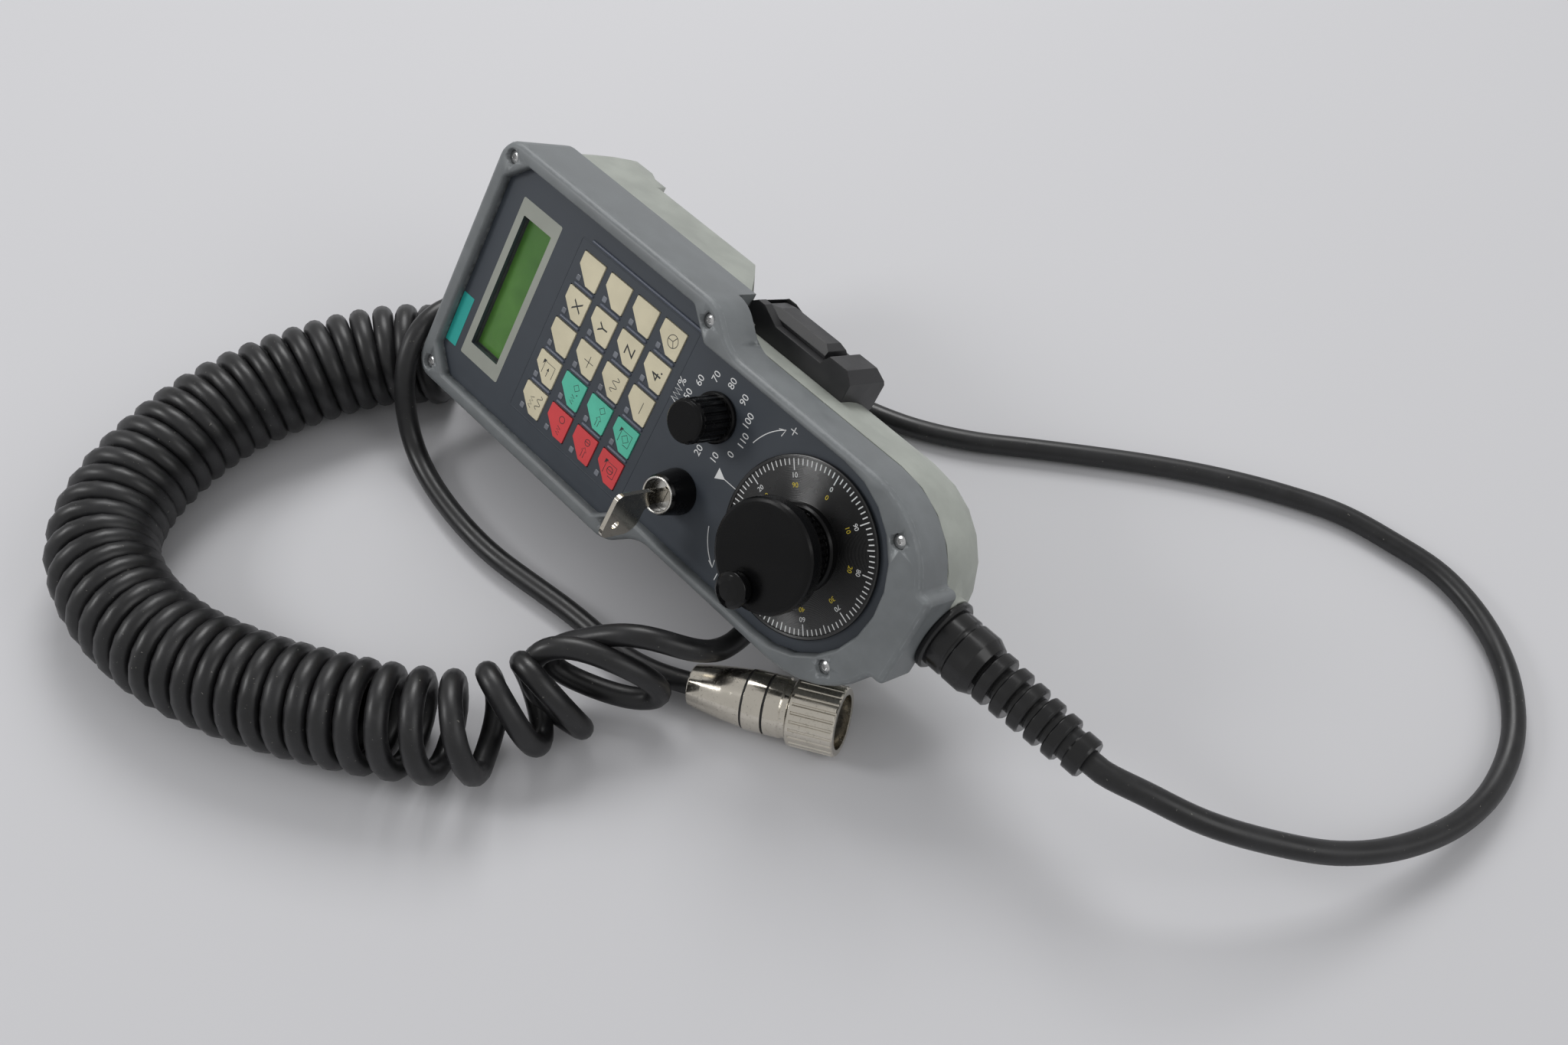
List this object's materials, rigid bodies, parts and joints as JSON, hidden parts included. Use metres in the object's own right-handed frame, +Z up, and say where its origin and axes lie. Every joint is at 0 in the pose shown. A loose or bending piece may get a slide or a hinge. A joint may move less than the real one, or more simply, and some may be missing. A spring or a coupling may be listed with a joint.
{
  "type": "pulse generator handwheel",
  "caption": "Handheld operating pendant with a graduated handwheel, display, keypad, override knob, key switch, side enabling switches and a coiled cord with a metal connector.",
  "frame": {"origin": "on the table under the middle of the pendant's box, without its cord and plug", "axes": "+X along the pendant from its display end to its cord outlet, +Z up; the face is tipped 56 degrees towards -Y, as it rests on its left edge"},
  "size_m": [0.5174, 0.4393, 0.1326],
  "materials": {
    "frame_grey": "fine grained",
    "panel_blue": "printed film",
    "shell_grey": "fine grained",
    "window": "clear",
    "display": "smooth",
    "rubber": "matte",
    "screw_steel": "plated",
    "board_green": "solder mask",
    "dial_black": "black anodised, turned",
    "knob_black": "satin",
    "black_plastic": "matte",
    "nickel": "nickel plated",
    "steel": "ground",
    "key_cream": "printed film",
    "key_red": "printed film",
    "key_mint": "printed film",
    "pad_grey": "soft",
    "cord_black": "semi-matt sheath",
    "grey_plastic": "matte",
    "seal_black": "matte"
  },
  "bodies": {
    "housing": {"front_frame": "frame_grey", "front_panel": "panel_blue", "display_window": "window", "display_module": "display", "frame_seal": "seal_black", "rear_shell": "shell_grey", "front_screws": "screw_steel", "main_board": "board_green", "keypad_board": "board_green", "encoder_body": "grey_plastic", "override_switch": "grey_plastic", "key_barrel": "black_plastic", "key_contact_block": "grey_plastic", "enable_housing_left": "black_plastic", "enable_housing_right": "black_plastic", "hinge_pins": "steel", "micro_switches": "grey_plastic", "panel_nuts": "screw_steel", "gland_body": "black_plastic", "gland_cap": "black_plastic", "gland_seal": "seal_black", "bend_relief": "rubber", "lead": "cord_black", "coil": "cord_black", "tail": "cord_black", "connector_shell": "nickel", "connector_insert": "black_plastic", "connector_seals": "seal_black"},
    "handwheel": {"handwheel_dial": "dial_black", "handwheel_knob": "knob_black", "crank_pin": "steel", "encoder_shaft": "steel"},
    "crank": {"crank_grip": "knob_black"},
    "override": {"override_knob": "knob_black", "override_shaft": "steel"},
    "lock": {"lock_cylinder": "nickel", "switch_key": "nickel"},
    "enable_left": {"enable_button_left": "pad_grey"},
    "enable_right": {"enable_button_right": "pad_grey"},
    "coupling": {"connector_ring": "nickel"},
    "key_1_1": {"key_1_1": "key_cream"},
    "key_1_2": {"key_1_2": "key_cream"},
    "key_1_3": {"key_1_3": "key_cream"},
    "key_1_4": {"key_1_4": "key_cream"},
    "key_1_5": {"key_1_5": "key_cream"},
    "key_2_1": {"key_2_1": "key_red"},
    "key_2_2": {"key_2_2": "key_mint"},
    "key_2_3": {"key_2_3": "key_cream"},
    "key_2_4": {"key_2_4": "key_cream"},
    "key_2_5": {"key_2_5": "key_cream"},
    "key_3_1": {"key_3_1": "key_red"},
    "key_3_2": {"key_3_2": "key_mint"},
    "key_3_3": {"key_3_3": "key_cream"},
    "key_3_4": {"key_3_4": "key_cream"},
    "key_3_5": {"key_3_5": "key_cream"},
    "key_4_1": {"key_4_1": "key_red"},
    "key_4_2": {"key_4_2": "key_mint"},
    "key_4_3": {"key_4_3": "key_cream"},
    "key_4_4": {"key_4_4": "key_cream"},
    "key_4_5": {"key_4_5": "key_cream"}
  },
  "joints": [
    {"name": "handwheel_turn", "type": "hinge", "parent": "housing", "child": "handwheel", "pos_m": [0.04, -0.0185, 0.0715], "axis": [0.0341, -0.829, 0.5581], "continuous": true},
    {"name": "crank_spin", "type": "hinge", "parent": "handwheel", "child": "crank", "pos_m": [0.03841, -0.04895, 0.07295], "axis": [0.0341, -0.829, 0.5581], "continuous": true},
    {"name": "override_turn", "type": "hinge", "parent": "housing", "child": "override", "pos_m": [-0.01798, -0.00843, 0.09], "axis": [0.0341, -0.829, 0.5581], "range_deg": [-30, 300]},
    {"name": "key_turn", "type": "hinge", "parent": "housing", "child": "lock", "pos_m": [-0.0198, -0.02857, 0.06021], "axis": [0.0341, -0.829, 0.5581], "range_deg": [0, 90]},
    {"name": "enable_left_press", "type": "hinge", "parent": "housing", "child": "enable_left", "pos_m": [-0.04207, -0.01134, 0.01549], "axis": [0.0341, -0.829, 0.5581], "range_deg": [0, 4], "stiffness_Nm_per_rad": 3},
    {"name": "enable_right_press", "type": "hinge", "parent": "housing", "child": "enable_right", "pos_m": [-0.03737, 0.04066, 0.09244], "axis": [-0.0341, 0.829, -0.5581], "range_deg": [0, 4], "stiffness_Nm_per_rad": 3},
    {"name": "coupling_turn", "type": "hinge", "parent": "housing", "child": "coupling", "pos_m": [0.07092, -0.04251, 0.01463], "axis": [0.8904, 0.4459, 0.0914], "continuous": true},
    {"name": "key_1_1_press", "type": "slide", "parent": "housing", "child": "key_1_1", "axis": [-0.0341, 0.829, -0.5581], "range_m": [0, 0.0004], "stiffness_N_per_m": 3000},
    {"name": "key_1_2_press", "type": "slide", "parent": "housing", "child": "key_1_2", "axis": [-0.0341, 0.829, -0.5581], "range_m": [0, 0.0004], "stiffness_N_per_m": 3000},
    {"name": "key_1_3_press", "type": "slide", "parent": "housing", "child": "key_1_3", "axis": [-0.0341, 0.829, -0.5581], "range_m": [0, 0.0004], "stiffness_N_per_m": 3000},
    {"name": "key_1_4_press", "type": "slide", "parent": "housing", "child": "key_1_4", "axis": [-0.0341, 0.829, -0.5581], "range_m": [0, 0.0004], "stiffness_N_per_m": 3000},
    {"name": "key_1_5_press", "type": "slide", "parent": "housing", "child": "key_1_5", "axis": [-0.0341, 0.829, -0.5581], "range_m": [0, 0.0004], "stiffness_N_per_m": 3000},
    {"name": "key_2_1_press", "type": "slide", "parent": "housing", "child": "key_2_1", "axis": [-0.0341, 0.829, -0.5581], "range_m": [0, 0.0004], "stiffness_N_per_m": 3000},
    {"name": "key_2_2_press", "type": "slide", "parent": "housing", "child": "key_2_2", "axis": [-0.0341, 0.829, -0.5581], "range_m": [0, 0.0004], "stiffness_N_per_m": 3000},
    {"name": "key_2_3_press", "type": "slide", "parent": "housing", "child": "key_2_3", "axis": [-0.0341, 0.829, -0.5581], "range_m": [0, 0.0004], "stiffness_N_per_m": 3000},
    {"name": "key_2_4_press", "type": "slide", "parent": "housing", "child": "key_2_4", "axis": [-0.0341, 0.829, -0.5581], "range_m": [0, 0.0004], "stiffness_N_per_m": 3000},
    {"name": "key_2_5_press", "type": "slide", "parent": "housing", "child": "key_2_5", "axis": [-0.0341, 0.829, -0.5581], "range_m": [0, 0.0004], "stiffness_N_per_m": 3000},
    {"name": "key_3_1_press", "type": "slide", "parent": "housing", "child": "key_3_1", "axis": [-0.0341, 0.829, -0.5581], "range_m": [0, 0.0004], "stiffness_N_per_m": 3000},
    {"name": "key_3_2_press", "type": "slide", "parent": "housing", "child": "key_3_2", "axis": [-0.0341, 0.829, -0.5581], "range_m": [0, 0.0004], "stiffness_N_per_m": 3000},
    {"name": "key_3_3_press", "type": "slide", "parent": "housing", "child": "key_3_3", "axis": [-0.0341, 0.829, -0.5581], "range_m": [0, 0.0004], "stiffness_N_per_m": 3000},
    {"name": "key_3_4_press", "type": "slide", "parent": "housing", "child": "key_3_4", "axis": [-0.0341, 0.829, -0.5581], "range_m": [0, 0.0004], "stiffness_N_per_m": 3000},
    {"name": "key_3_5_press", "type": "slide", "parent": "housing", "child": "key_3_5", "axis": [-0.0341, 0.829, -0.5581], "range_m": [0, 0.0004], "stiffness_N_per_m": 3000},
    {"name": "key_4_1_press", "type": "slide", "parent": "housing", "child": "key_4_1", "axis": [-0.0341, 0.829, -0.5581], "range_m": [0, 0.0004], "stiffness_N_per_m": 3000},
    {"name": "key_4_2_press", "type": "slide", "parent": "housing", "child": "key_4_2", "axis": [-0.0341, 0.829, -0.5581], "range_m": [0, 0.0004], "stiffness_N_per_m": 3000},
    {"name": "key_4_3_press", "type": "slide", "parent": "housing", "child": "key_4_3", "axis": [-0.0341, 0.829, -0.5581], "range_m": [0, 0.0004], "stiffness_N_per_m": 3000},
    {"name": "key_4_4_press", "type": "slide", "parent": "housing", "child": "key_4_4", "axis": [-0.0341, 0.829, -0.5581], "range_m": [0, 0.0004], "stiffness_N_per_m": 3000},
    {"name": "key_4_5_press", "type": "slide", "parent": "housing", "child": "key_4_5", "axis": [-0.0341, 0.829, -0.5581], "range_m": [0, 0.0004], "stiffness_N_per_m": 3000}
  ]
}
